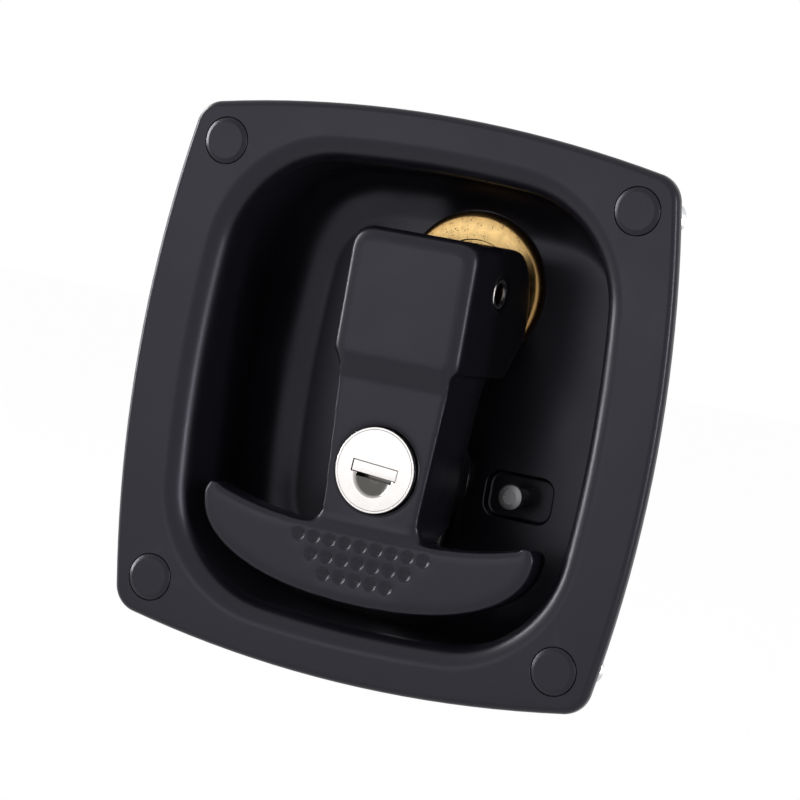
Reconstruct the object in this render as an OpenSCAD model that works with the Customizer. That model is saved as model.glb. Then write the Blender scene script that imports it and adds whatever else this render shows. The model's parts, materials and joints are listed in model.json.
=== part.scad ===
// T-handle compression latch with a folding, locking handle in a recessed pan.
// Drawn in a face frame: x right, y up, z towards the user, z = 0 on the flange front.
// placed() turns that frame upright: X right, Z up, front towards -Y, origin on the flange back.

/* [Flange] */
// Distance between stud centres, both ways
stud_pitch = 100; // [96:0.5:104]
// Half of the flange width at the middle of a side
flange_half = 63.5; // [62:0.5:70]
// Radius of the bowed flange sides
flange_bow = 295; // [220:5:400]
// Corner radius of the flange
flange_corner = 6.5; // [4:0.5:10]
// Thickness of the flange and of the pan walls
wall_t = 3; // [2.6:0.1:4]
// Rounding of the front edge of the flange
edge_r = 1.5; // [0.6:0.1:2]

/* [Recess] */
// Half of the recess width where its rolled edge starts
open_half_w = 52.8; // [51:0.2:55]
// Half of the recess height where its rolled edge starts
open_half_h = 56.5; // [55:0.5:58]
// Radius of the bowed recess sides
open_bow = 290; // [220:5:400]
// Corner radius of the recess
open_corner = 31; // [28:0.5:34]
// Radius of the rolled edge
roll_r = 5.5; // [4.5:0.1:6]
// Depth of the pan floor behind the flange front
floor_depth = 37; // [36.5:0.1:40]
// Radius between pan wall and floor
fillet_r = 11; // [8:0.5:13]

/* [Hub] */
// Radius of the bearing hub behind the floor
hub_r = 17; // [17:0.5:20]
// Length of the hub behind the floor
hub_len = 12; // [10:0.5:16]
// Thickness of the ribs round the hub
rib_t = 3; // [2:0.5:5]
// Length of each rib from the hub axis
rib_reach = 29; // [22:1:34]

/* [Studs] */
// Radius of the mounting studs
stud_r = 4; // [3:0.5:5]
// Radius of the stud heads
stud_head_r = 5.2; // [4.6:0.05:6]
// Thickness of the stud heads
stud_head_t = 1.6; // [1.2:0.1:2.2]
// Length of the studs behind the flange
stud_len = 18; // [12:1:40]
// How far the stud heads stand proud of the flange
stud_proud = 0.5; // [0.2:0.05:0.8]
// Width of the sloping edge round each stud head
stud_edge = 1; // [0.4:0.1:1.4]
// How much thicker than the stud its pressed neck is
stud_neck = 0.3; // [0.2:0.1:0.6]

/* [Keeper] */
// Keeper pin place across the pan
keeper_x = 20; // [18:0.5:22]
// Keeper pin place up the pan
keeper_y = -17.9; // [-20:0.1:-15]
// Radius of the keeper pin head
keeper_head_r = 3.1; // [2.8:0.1:4]
// Thickness of the keeper pin head and of its rivet end
keeper_head_t = 1.4; // [1:0.1:2]
// Radius of the keeper pin stem
keeper_stem_r = 2; // [1.5:0.1:2.4]
// Width of the floor pocket round the keeper pin
pocket_w = 16.3; // [14:0.1:18]
// Height of the floor pocket
pocket_h = 10.2; // [8:0.1:14]
// Depth of the floor pocket
pocket_depth = 2.2; // [1:0.1:2.4]
// Corner radius of the floor pocket
pocket_corner = 3; // [1:0.5:4]

/* [Handle] */
// Pivot pin height above the stud pattern centre
pivot_y = 27; // [26:0.5:28]
// Pivot pin depth behind the flange front
pivot_depth = 16; // [15:0.5:17]
// Distance from the pivot to the heel face when closed
heel_closed = 18.4; // [17.5:0.1:19]
// Top of the handle head
head_top = 37.2; // [36:0.1:39]
// Lower end of the raised head face
head_low = 8.2; // [6:0.1:10]
// Half of the head width
head_half = 15.7; // [14:0.1:16.5]
// Chamfer round the head face
head_chamfer = 1.5; // [0.5:0.1:2.5]
// Length of the bevel from head to neck
bevel_len = 4.4; // [3:0.1:6]
// Drop from the head face to the neck face
neck_drop = 1.8; // [1:0.1:3]
// Half of the neck width at the bevel
neck_half_top = 13.5; // [12.5:0.1:14]
// Half of the neck width at the lock
neck_half_low = 11.7; // [11.4:0.1:12.4]
// Thickness of the neck, from the flange front
neck_depth = 20.5; // [18:0.5:23]
// Depth of the boss behind the lock, from the flange front
boss_depth = 26.4; // [24.5:0.1:27]
// Wall round the lock in that boss
boss_wall = 3; // [2:0.5:4]
// Radius of the flare from neck to T-bar
flare_r = 5; // [3:0.5:7]
// Half of the T-bar length
bar_half = 40.9; // [36:0.1:42]
// Radius of the T-bar tips
bar_tip_r = 2.3; // [1.5:0.1:3]
// Height of the T-bar tip centres
bar_tip_y = -27.9; // [-29:0.1:-26]
// Top of the T-bar at its middle
bar_top = -30; // [-31:0.1:-29.5]
// Bottom of the T-bar at its middle
bar_low = -46.3; // [-47:0.1:-43]
// How full the lower T-bar edge is, from an ellipse at 2 to a box
bar_fullness = 2.2; // [2:0.1:2.6]
// Drop of the T-bar face behind the flange front
bar_drop = 0.3; // [0:0.1:1.5]
// Thickness of the T-bar
bar_t = 7.4; // [5:0.1:9]
// Distance between finger dimples
dimple_pitch = 3.85; // [3.5:0.05:4.2]
// Radius of a dimple at the surface
dimple_r = 1.5; // [1:0.1:1.7]
// Depth of a dimple
dimple_depth = 0.6; // [0.3:0.1:0.9]
// Height of the first dimple row
dimple_row_y = -33; // [-34:0.1:-32]

/* [Pivot] */
// Radius of the pivot pin
pin_r = 3.5; // [2.5:0.1:4.2]
// Radius of the blind hole in each pin end
pin_hollow_r = 2.3; // [1.2:0.1:2.4]
// Depth of the blind hole in each pin end
pin_hollow_depth = 3; // [1:0.5:5]
// How far the pin ends lie inside the cheeks
pin_recess = 0.3; // [0.1:0.1:1]

/* [Shaft] */
// Radius of the draw shaft
shaft_r = 8; // [7.5:0.1:8.4]
// Thickness of the flat eye in the handle slot
tongue_t = 9; // [7:0.5:11]
// Width across the drive flats of the shaft
drive_flat = 13; // [12:0.5:14]
// Radius of the threaded tail
thread_r = 7; // [6.6:0.1:7.4]
// Width across the flats of the threaded tail
tail_flat = 11; // [10:0.5:12]
// Length of the threaded tail past the last nut
tail_spare = 3; // [1:0.5:20]

/* [Bush] */
// Radius of the brass collar
collar_r = 17.6; // [16.8:0.1:19]
// Rounding of the brass collar edge
collar_round = 1.6; // [0.8:0.1:2]
// Radius of the shallow recess round the bush bore
collar_recess_r = 11; // [10:0.1:13]
// Depth of that recess
collar_recess = 0.4; // [0.2:0.1:0.8]
// Radius of the brass barrel in the hub
bush_r = 11.5; // [11:0.1:11.6]
// Width across the flats of the barrel end
bush_flat = 20; // [19.4:0.1:21]
// Length of the barrel end behind the retaining ring
bush_end = 1.2; // [0.8:0.1:2]

/* [Stops] */
// Thickness of the stop plate
stop_plate_t = 2; // [1.5:0.1:3]
// Radius of the two stop lugs
stop_lug_r = 2; // [1.5:0.1:2.4]
// Thickness of the stop washer
stop_washer_t = 1.9; // [1.5:0.1:2.5]
// Width of the stop tab
stop_tab_w = 6; // [4:0.5:8]
// Thickness of the retaining ring
circlip_t = 1; // [0.8:0.1:1.5]
// Depth of the groove for the retaining ring
ring_groove = 0.9; // [0.6:0.1:1.2]
// How far the retaining ring stands out of the barrel
ring_proud = 1.4; // [1:0.1:2]
// Radius of the stop screws
stop_screw_r = 1.5; // [1.2:0.1:1.6]

/* [Spring and cam] */
// Length of the return spring with the handle closed
spring_len = 14; // [12:0.5:24]
// Rim of the spring cup
cup_rim = 1.2; // [0.8:0.1:2]
// Radius of the spring wire
spring_wire_r = 1; // [0.7:0.1:1.2]
// Number of spring turns
spring_turns = 4.5; // [3.5:0.5:5.5]
// Thickness of the spring cup
cup_t = 2.2; // [1.5:0.1:3]
// Width across the cam nut flats
nut_af = 21; // [19:0.5:24]
// Thickness of a cam nut
nut_t = 6.5; // [5:0.5:9]
// Thickness of the cam washer
cam_washer_t = 2; // [1:0.1:3]
// Thickness of the latch cam
cam_t = 5; // [4:0.5:8]
// Width of the latch cam
cam_w = 24; // [20:1:28]
// Reach of the latch cam from the shaft axis
cam_reach = 62; // [45:1:80]
// Forward crank of the latch cam
cam_crank = 6; // [0:0.5:10]

/* [Lock] */
// Height of the lock axis
lock_y = -15.8; // [-17:0.1:-15]
// Radius of the lock barrel
lock_r = 9.5; // [9.2:0.1:9.8]
// Drop of the lock face behind the flange front
lock_drop = 0.5; // [0.2:0.1:1.5]
// Width of the thin rim round the turning lock face
lock_rim = 0.5; // [0.4:0.1:0.8]
// Thickness of the turning lock face
face_t = 2; // [1.9:0.1:2.6]
// Radius of the plug behind its face
plug_r = 6.5; // [6.4:0.1:7]
// Length of the key slot
key_w = 11.2; // [10:0.1:11.4]
// Height of the key slot
key_h = 2.8; // [2.6:0.1:3.2]
// Turn of the key slot at rest, seen from the front
key_tilt = -4; // [-10:1:10]
// Radius of the half-moon scoop under the slot
scoop_r = 5; // [3:0.1:5.2]
// Depth of the half-moon scoop
scoop_depth = 1.7; // [1:0.1:2]
// Number of wafers
wafers = 6; // [4:1:6]
// Thickness of a wafer
wafer_t = 1.2; // [0.8:0.1:1.3]
// Thickness of the tail cam
tail_cam_t = 1.6; // [1.2:0.1:1.8]
// Half of the tail cam width
tail_cam_half = 6; // [5:0.5:7]
// Radius of the tail screw
tail_screw_r = 2; // [1.5:0.1:2.3]
// Length of the tail screw in the plug
tail_screw_len = 5; // [3:0.5:5]
// Thickness of the tail screw head
tail_screw_head_t = 1.2; // [1:0.1:1.4]
// Length of the lock barrel behind the boss
barrel_tail = 3.4; // [2.5:0.1:3.4]
// Thickness of the clip that holds the barrel
clip_t = 1.2; // [0.8:0.1:1.6]
// Thickness of the dust flap
shutter_t = 0.7; // [0.5:0.1:0.8]

/* [Clearances] */
// Radial gap of turning and sliding fits
run_gap = 0.05; // [0.02:0.01:0.1]
// Gap of pieces that are set fast in a hole
seat_gap = 0.03; // [0.01:0.01:0.1]
// Gap between faces that move past each other
slide_gap = 0.3; // [0.15:0.05:0.4]
// Gap between the handle heel and the brass collar
heel_gap = 0.2; // [0.1:0.05:0.4]
// Side gap of the shaft eye in the handle slot
slot_gap = 0.25; // [0.15:0.05:0.5]
// Gap between stacked flat pieces on one body
stack_gap = 0.1; // [0.05:0.05:0.2]
// Gap round the dust flap in its slot
shutter_gap = 0.2; // [0.15:0.05:0.25]
// Gap between the tail screw head and the floor
tail_floor_gap = 0.8; // [0.5:0.1:1]

/* [Hidden] */
$fn = 64;
// Steps along each long side and each corner, and round the roll and the fillet
arc_steps = 8;
bend_steps = 5;
// Extra depth of a cut past the face that it opens
cut = 1;
fold_angle = 90;

// Heel: an even draw for each degree of fold
heel_open = head_top - pivot_y;
draw_rate = (heel_closed - heel_open) / (fold_angle * PI / 180);
heel_z = -pivot_depth - heel_closed;
collar_z = heel_z - heel_gap;
heel_margin = 2;

// Stack of depths behind the floor, all as negative z
floor_z = -floor_depth;
collar_back = floor_z + stack_gap;
collar_edge = min(collar_round, 0.8 * (collar_z - collar_back));
floor_back = floor_z - wall_t;
hub_back = floor_back - hub_len;
stop_plate_back = hub_back - stop_plate_t;
stop_washer_z = stop_plate_back - slide_gap;
stop_washer_back = stop_washer_z - stop_washer_t;
circlip_z = stop_washer_back - slide_gap;
circlip_back = circlip_z - circlip_t;
bush_back = circlip_back - bush_end;
spring_back = bush_back - spring_len;
cup_z = spring_back - stack_gap;
cup_back = cup_z - cup_t;
nut1_z = cup_back - stack_gap;
nut1_back = nut1_z - nut_t;
cam_washer_z = nut1_back - stack_gap;
cam_washer_back = cam_washer_z - cam_washer_t;
cam_z = cam_washer_back - stack_gap;
cam_back = cam_z - cam_t;
nut2_z = cam_back - stack_gap;
nut2_back = nut2_z - nut_t;
shaft_back = nut2_back - tail_spare;
shoulder_drop = 1.8;
shaft_shoulder = heel_z - shoulder_drop;

// Handle slot round the shaft eye
slot_half = tongue_t / 2 + slot_gap;
slot_reach = shaft_r + slide_gap;

// Lock stack
lock_face = -lock_drop;
face_back = lock_face - face_t;
barrel_back = -boss_depth - barrel_tail;
clip_z = -boss_depth - stack_gap;
clip_groove = 0.7;
clip_proud = 2;
clip_open = 0.6 * lock_r;
plug_back = barrel_back - stack_gap;
shutter_axis_in = 0.3;
shutter_axis_depth = 1.15;
shutter_axis_y = key_h / 2 - shutter_axis_in;
shutter_axis_z = lock_face - shutter_axis_depth;
shutter_recess = 0.15;
shutter_knuckle_r = 0.7;
shutter_pin_r = 0.35;
shutter_pin_half = key_w / 2 + 1.4;
cavity_grow = 0.8;
cavity_half = key_h / 2 + cavity_grow;
cavity_lip = 0.45;
cavity_depth = 4.1;
keyway_half_w = 4.3;
keyway_half_h = 1.2;
wafer_pitch = 2.4;
wafer_half_w = 3.8;
wafer_inset = 0.2;
wafer_web = 1;
wafer_play = 0.3;
wafer_half_h = sqrt(pow(plug_r - wafer_inset, 2) - pow(wafer_half_w, 2));
wafer_first = face_back - cavity_depth;
tail_sq = 6;

// Keeper pin head sits just in front of the tail cam
keeper_reach = norm([keeper_x, keeper_y - lock_y]);
keeper_angle = atan2(keeper_y - lock_y, keeper_x);
tail_cam_back = floor_z + tail_floor_gap + tail_screw_head_t;
tail_cam_z = tail_cam_back + tail_cam_t;
keeper_head_back = tail_cam_z + slide_gap;
keeper_head_z = keeper_head_back + keeper_head_t;
hook_half = keeper_stem_r + slide_gap;
hook_wall = 3;
tail_reach = keeper_reach + hook_half + hook_wall;
tail_eye_grow = 0.8;
pocket_floor = floor_z - pocket_depth;
pad_back = floor_back - pocket_depth;
rivet_back = pad_back - keeper_head_t;

// Stops: angles are seen from the front, the cam points to the left at rest
rest_angle = 180;
turn_angle = 90;
lug_edge = 0.2;
lug_slack = 1;
lug_ring_r = hub_r - stop_lug_r - lug_edge;
lug_angle = asin(stop_lug_r / lug_ring_r) + asin(stop_tab_w / 2 / lug_ring_r) + lug_slack;
lug_angles = [rest_angle - lug_angle, rest_angle + turn_angle + lug_angle];
stop_washer_r = lug_ring_r - stop_lug_r - slide_gap;

// Countersunk stop screws, flush with the back of the stop plate
screw_angles = [-40, 60];
screw_ring_r = (bush_r + slide_gap + hub_r) / 2;
sink_grow = 0.9;
sink_rim = 0.2;
screw_tip = hub_back + hub_len / 2;

// Bowed outline: four long arcs and four tangent corner arcs
function corner_y(a, b, bow, r) =
  let (p = bow - a, q = bow - b, d = bow - r)
  let (k = q / p, m = (q * q - p * p) / (2 * p))
  let (h = k * m + q, n = k * k + 1)
  (sqrt(h * h - n * (m * m + q * q - d * d)) - h) / n;
function corner_x(a, b, bow, r) =
  let (p = bow - a, q = bow - b)
  (q * corner_y(a, b, bow, r)) / p + (q * q - p * p) / (2 * p);
function arc(c, r, from, to) =
  [for (i = [0 : arc_steps - 1])
    let (t = from + (to - from) * i / arc_steps)
    c + r * [cos(t), sin(t)]];
function bowed(a, b, bow, r, grow = 0) =
  let (cx = corner_x(a, b, bow, r), cy = corner_y(a, b, bow, r))
  let (s = atan2(cy, cx + bow - a), t = 90 - atan2(cx, cy + bow - b))
  let (long = bow + grow, short = r + grow)
  concat(
    arc([a - bow, 0], long, -s, s),
    arc([cx, cy], short, s, t),
    arc([0, b - bow], long, t, 180 - t),
    arc([-cx, cy], short, 180 - t, 180 - s),
    arc([bow - a, 0], long, 180 - s, 180 + s),
    arc([-cx, -cy], short, 180 + s, 180 + t),
    arc([0, bow - b], long, 180 + t, 360 - t),
    arc([cx, -cy], short, 360 - t, 360 - s));
function flange_outline(grow) = bowed(flange_half, flange_half, flange_bow, flange_corner, grow);
function recess_outline(grow) = bowed(open_half_w, open_half_h, open_bow, open_corner, grow);

// From the face frame to the upright frame
module placed() {
  rotate([90, 0, 0])
    translate([0, 0, wall_t])
      children();
}

// A solid between two depths, with its outline given in the face plane
module slab(front, back) {
  translate([0, 0, back])
    linear_extrude(height = front - back)
      children();
}

module rod(front, back, r) {
  translate([0, 0, back])
    cylinder(h = front - back, r = r);
}

// Same, along the shaft axis
module shaft_rod(front, back, r) {
  translate([0, pivot_y, 0])
    rod(front, back, r);
}

// Children at the given angles on a ring round the shaft axis
module around_shaft(angles, ring_r) {
  translate([0, pivot_y, 0])
    for (turn = angles)
      rotate([0, 0, turn])
        translate([ring_r, 0, 0])
          children();
}

// Rod with two flats that face left and right
module flatted_rod(front, back, r, across) {
  intersection() {
    shaft_rod(front, back, r);
    translate([-across / 2, pivot_y - r - cut, back])
      cube([across, 2 * (r + cut), front - back]);
  }
}

// A child profile in y and z, extruded across x
module across_x(width) {
  rotate([90, 0, 90])
    linear_extrude(height = width, center = true)
      children();
}

module rounded_box(w, h, r) {
  square([w - 2 * r, h], center = true);
  square([w, h - 2 * r], center = true);
  for (x = [-1, 1], y = [-1, 1])
    translate([x * (w / 2 - r), y * (h / 2 - r)])
      circle(r);
}

module at_studs() {
  for (x = [-1, 1], y = [-1, 1])
    translate([x * stud_pitch / 2, y * stud_pitch / 2, 0])
      children();
}

// Rings of the pan skin: from the floor up the front, round the flange edge and down the back,
// with a square inside corner behind the flange so that washers on the studs clear the wall
function bend(steps, from, to) = [for (i = [0 : steps]) from + (to - from) * i / steps];
function at_height(outline, z) = [for (p = outline) [p[0], p[1], z]];
function floor_ring(r, t) =
  at_height(recess_outline(r * cos(t) - roll_r - fillet_r), fillet_r - floor_depth - r * sin(t));
function roll_ring(t) = at_height(recess_outline(-roll_r * sin(t)), roll_r * (cos(t) - 1));
function edge_ring(t) = at_height(flange_outline(edge_r * (sin(t) - 1)), edge_r * (cos(t) - 1));
function pan_rings() = concat(
  [for (t = bend(bend_steps, 90, 0)) floor_ring(fillet_r, t)],
  [for (t = bend(bend_steps, 90, 0)) roll_ring(t)],
  [for (t = bend(3, 0, 90)) edge_ring(t)],
  [at_height(flange_outline(0), -wall_t)],
  [at_height(recess_outline(wall_t - roll_r), -wall_t)],
  [for (t = bend(bend_steps, 0, 90)) floor_ring(fillet_r + wall_t, t)]);

module pan_skin() {
  rings = pan_rings();
  n = len(rings[0]);
  last = len(rings) - 1;
  sides = [for (i = [0 : last - 1], j = [0 : n - 1])
    let (k = (j + 1) % n)
    each [[i * n + j, i * n + k, (i + 1) * n + k], [i * n + j, (i + 1) * n + k, (i + 1) * n + j]]];
  ends = [[for (j = [n - 1 : -1 : 0]) j], [for (j = [0 : n - 1]) last * n + j]];
  polyhedron(points = [for (ring = rings) each ring], faces = concat(sides, ends), convexity = 8);
}

module hub_ribs() {
  around_shaft([0, 180, 270], hub_r - cut)
    translate([0, -rib_t / 2, floor_back - hub_len / 2])
      cube([rib_reach - hub_r + cut, rib_t, hub_len / 2 + cut]);
}

module pan() {
  color([0.09, 0.09, 0.1])
    placed()
      difference() {
        union() {
          pan_skin();
          shaft_rod(floor_back + cut, hub_back, hub_r);
          hub_ribs();
          translate([keeper_x, keeper_y, 0])
            slab(floor_back + cut, pad_back)
              rounded_box(pocket_w + 2 * wall_t, pocket_h + 2 * wall_t, pocket_corner);
        }
        shaft_rod(floor_z + cut, hub_back - cut, bush_r + run_gap);
        shaft_rod(collar_z + cut, floor_z, collar_r + slide_gap);
        translate([keeper_x, keeper_y, 0])
          slab(floor_z + cut, pocket_floor)
            rounded_box(pocket_w, pocket_h, pocket_corner);
        translate([keeper_x, keeper_y, 0])
          rod(pocket_floor + cut, pad_back - cut, keeper_stem_r + seat_gap);
        at_studs() {
          rod(cut, stud_proud - stud_head_t - stack_gap, stud_head_r + seat_gap);
          rod(cut, -wall_t - cut, stud_r + stud_neck + seat_gap);
        }
        around_shaft(screw_angles, screw_ring_r)
          rod(screw_tip + cut, hub_back - cut, stop_screw_r + seat_gap);
      }
}

// Low heads in front, pressed necks in the flange, chamfered ends behind it
module mounting_studs() {
  stud_back = -wall_t - stud_len;
  head_back = stud_proud - stud_head_t;
  neck_r = stud_r + stud_neck;
  chamfer = stud_r / 6;
  color([0.75, 0.76, 0.78])
    placed()
      at_studs()
        rotate_extrude()
          polygon([[0, stud_proud], [stud_head_r - stud_edge, stud_proud], [stud_head_r, 0],
            [stud_head_r, head_back], [neck_r, head_back], [neck_r, -wall_t], [stud_r, -wall_t],
            [stud_r, stud_back + chamfer], [stud_r - chamfer, stud_back], [0, stud_back]]);
}

// Head in front of the tail cam, stem through the floor, riveted end behind
module keeper_pin() {
  color([0.62, 0.62, 0.63])
    placed()
      translate([keeper_x, keeper_y, 0]) {
        rod(keeper_head_z, keeper_head_back, keeper_head_r);
        rod(keeper_head_back + keeper_head_t / 2, rivet_back, keeper_stem_r);
        rod(pad_back - stack_gap, rivet_back, keeper_head_r);
      }
}

// Countersunk screw on its own axis, also the shape of its hole
module screw_shape(front, back, gap) {
  sink_r = stop_screw_r + sink_grow;
  sink_z = stop_plate_back + sink_rim;
  rotate_extrude()
    polygon([[0, front], [stop_screw_r + gap, front], [stop_screw_r + gap, sink_z + sink_grow],
      [sink_r + gap, sink_z], [sink_r + gap, back], [0, back]]);
}

module stop_plate() {
  color([0.7, 0.7, 0.72])
    placed()
      difference() {
        union() {
          shaft_rod(hub_back, stop_plate_back, hub_r);
          around_shaft(lug_angles, lug_ring_r)
            rod(hub_back - stack_gap, stop_washer_back, stop_lug_r);
        }
        shaft_rod(hub_back + cut, stop_plate_back - cut, bush_r + slide_gap);
        around_shaft(screw_angles, screw_ring_r)
          screw_shape(hub_back + cut, stop_plate_back - cut, seat_gap);
      }
}

module stop_screws() {
  slot = stop_screw_r / 2;
  color([0.72, 0.73, 0.75])
    placed()
      around_shaft(screw_angles, screw_ring_r)
        difference() {
          screw_shape(screw_tip, stop_plate_back, 0);
          translate([0, 0, stop_plate_back])
            cube([4 * stop_screw_r, slot, 2 * slot], center = true);
        }
}

// Brass collar with a rounded edge, turned about the shaft axis
module collar_profile() {
  difference() {
    union() {
      translate([0, collar_back])
        square([collar_r - collar_edge, collar_z - collar_back]);
      translate([0, collar_back])
        square([collar_r, collar_z - collar_back - collar_edge]);
      translate([collar_r - collar_edge, collar_z - collar_edge])
        circle(collar_edge);
    }
    translate([0, collar_z - collar_recess])
      square([collar_recess_r, collar_recess + cut]);
    translate([0, collar_back - 2 * collar_edge])
      square([2 * collar_r, 2 * collar_edge]);
  }
}

module thrust_bush() {
  barrel_flat_front = stop_plate_back - slide_gap / 2;
  color([0.78, 0.6, 0.3])
    placed()
      difference() {
        union() {
          translate([0, pivot_y, 0])
            rotate_extrude()
              collar_profile();
          shaft_rod(collar_back + stack_gap, barrel_flat_front, bush_r);
          flatted_rod(barrel_flat_front + cut, bush_back, bush_r, bush_flat);
        }
        flatted_rod(collar_z + cut, bush_back - cut, shaft_r + run_gap, drive_flat + 2 * run_gap);
        translate([0, pivot_y, 0])
          difference() {
            rod(circlip_z + stack_gap, circlip_back - stack_gap, bush_r + cut);
            rod(circlip_z + cut, circlip_back - cut, bush_r - ring_groove);
          }
      }
}

module stop_washer() {
  color([0.7, 0.7, 0.72])
    placed()
      difference() {
        union() {
          shaft_rod(stop_washer_z, stop_washer_back, stop_washer_r);
          around_shaft([rest_angle], bush_r - cut)
            translate([0, -stop_tab_w / 2, stop_washer_back])
              cube([hub_r - bush_r + cut, stop_tab_w, stop_washer_t]);
        }
        flatted_rod(stop_washer_z + cut, stop_washer_back - cut, bush_r + seat_gap,
          bush_flat + 2 * seat_gap);
      }
}

module bush_circlip() {
  mouth = 0.9 * bush_r;
  color([0.3, 0.3, 0.32])
    placed()
      difference() {
        shaft_rod(circlip_z, circlip_back, bush_r + ring_proud);
        shaft_rod(circlip_z + cut, circlip_back - cut, bush_r - ring_groove + seat_gap);
        translate([-mouth / 2, pivot_y - 2 * bush_r, circlip_back - cut])
          cube([mouth, 2 * bush_r, circlip_t + 2 * cut]);
      }
}

// Coil between the barrel end and the spring cup: rings of points along a helix
module return_spring() {
  mean_r = (shaft_r + run_gap + bush_r) / 2;
  ring = 8;
  per_turn = 20;
  rings = round(spring_turns * per_turn);
  rise = spring_len - 2 * spring_wire_r - 2 * stack_gap;
  start = bush_back - stack_gap - spring_wire_r;
  points = [for (i = [0 : rings], j = [0 : ring - 1])
    let (t = 360 * i / per_turn, w = 360 * j / ring)
    let (r = mean_r + spring_wire_r * cos(w))
    [r * cos(t), pivot_y + r * sin(t), start - rise * i / rings + spring_wire_r * sin(w)]];
  sides = [for (i = [0 : rings - 1], j = [0 : ring - 1])
    let (k = (j + 1) % ring)
    [i * ring + j, (i + 1) * ring + j, (i + 1) * ring + k, i * ring + k]];
  ends = [[for (j = [0 : ring - 1]) j], [for (j = [ring - 1 : -1 : 0]) rings * ring + j]];
  color([0.6, 0.61, 0.63])
    placed()
      polyhedron(points = points, faces = concat(sides, ends), convexity = 8);
}

// Flat eye at the handle end, drive flats in the bush, threaded tail
module draw_shaft() {
  color([0.7, 0.71, 0.73])
    placed()
      difference() {
        union() {
          intersection() {
            union() {
              shaft_rod(-pivot_depth, shaft_shoulder - cut, shaft_r);
              translate([0, pivot_y, -pivot_depth])
                rotate([0, 90, 0])
                  cylinder(h = 4 * shaft_r, r = shaft_r, center = true);
            }
            translate([-tongue_t / 2, pivot_y - 2 * shaft_r, shaft_shoulder - cut])
              cube([tongue_t, 4 * shaft_r, shaft_r - pivot_depth - shaft_shoulder + 2 * cut]);
          }
          flatted_rod(shaft_shoulder, spring_back, shaft_r, drive_flat);
          flatted_rod(spring_back + cut, shaft_back, thread_r, tail_flat);
        }
        translate([0, pivot_y, -pivot_depth])
          rotate([0, 90, 0])
            cylinder(h = 2 * tongue_t, r = pin_r + run_gap, center = true);
      }
}

module spring_cup() {
  cup_r = bush_r + cup_rim;
  color([0.66, 0.67, 0.69])
    placed()
      difference() {
        shaft_rod(cup_z + 2 * cup_rim, cup_back, cup_r);
        shaft_rod(cup_z + 3 * cup_rim, cup_z, cup_r - cup_rim);
        flatted_rod(cup_z + cut, cup_back - cut, thread_r + seat_gap, tail_flat + 2 * seat_gap);
      }
}

module cam_washer() {
  color([0.66, 0.67, 0.69])
    placed()
      difference() {
        shaft_rod(cam_washer_z, cam_washer_back, cam_w / 2);
        shaft_rod(cam_washer_z + cut, cam_washer_back - cut, thread_r + seat_gap);
      }
}

module cam_nuts() {
  color([0.74, 0.75, 0.77])
    placed()
      for (front = [nut1_z, nut2_z])
        difference() {
          translate([0, pivot_y, front - nut_t])
            cylinder(h = nut_t, r = nut_af / sqrt(3), $fn = 6);
          shaft_rod(front + cut, front - nut_t - cut, thread_r + seat_gap);
        }
}

// Cranked arm: side profile across the width, trimmed to a rounded plan
module latch_cam() {
  bend_start = cam_w / 2 + cam_washer_t;
  bend_end = bend_start + 1.5 * cam_crank;
  profile = [
    [cam_w, cam_back], [cam_w, cam_z],
    [-bend_start, cam_z], [-bend_end, cam_z + cam_crank], [-cam_reach - cut, cam_z + cam_crank],
    [-cam_reach - cut, cam_back + cam_crank], [-bend_end, cam_back + cam_crank],
    [-bend_start, cam_back]];
  color([0.68, 0.69, 0.71])
    placed()
      difference() {
        intersection() {
          translate([0, pivot_y, 0])
            rotate([90, 0, 0])
              linear_extrude(height = cam_w, center = true)
                polygon(profile);
          translate([0, pivot_y, 0])
            slab(cam_z + cam_crank + cut, cam_back - cut) {
              circle(cam_w / 2);
              translate([cam_w / 2 - cam_reach, -cam_w / 2])
                square([cam_reach - cam_w / 2, cam_w]);
              translate([cam_w / 2 - cam_reach, 0])
                circle(cam_w / 2);
            }
        }
        flatted_rod(cam_z + cut, cam_back - cut, thread_r + seat_gap, tail_flat + 2 * seat_gap);
      }
}

// Side profile of the head: flat face, even-draw heel, sloped underside
function heel_curve() =
  [for (f = [fold_angle : -3 : 0])
    let (h = heel_closed - draw_rate * f * PI / 180)
    [pivot_y + h * sin(f) - draw_rate * cos(f), -pivot_depth - h * cos(f) - draw_rate * sin(f)]];

module head_block() {
  rear_low = pivot_y - shaft_r - heel_margin;
  profile = concat(
    [[head_low, -neck_depth], [head_low, 0],
      [head_top - head_chamfer, 0], [head_top, -head_chamfer]],
    heel_curve(),
    [[rear_low, heel_z], [head_low, -boss_depth]]);
  difference() {
    across_x(2 * head_half)
      polygon(profile);
    for (side = [-1, 1])
      translate([side * head_half, 0, 0])
        rotate([0, 45, 0])
          cube([head_chamfer * sqrt(2), 4 * head_top, head_chamfer * sqrt(2)], center = true);
  }
}

// Plan of the neck: narrows over the bevel, tapers to the lock, flares into the T-bar
module neck_plan() {
  bevel_low = head_low - bevel_len;
  flare_y = bar_top + flare_r;
  wide = neck_half_low + flare_r;
  right = [[head_half - head_chamfer, head_low + cut], [head_half - head_chamfer, head_low],
    [neck_half_top, bevel_low], [neck_half_low, flare_y], [wide, flare_y], [wide, bar_top - cut]];
  difference() {
    polygon(concat(right, [for (i = [len(right) - 1 : -1 : 0]) [-right[i][0], right[i][1]]]));
    for (side = [-1, 1])
      translate([side * wide, flare_y])
        circle(flare_r);
  }
}

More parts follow.
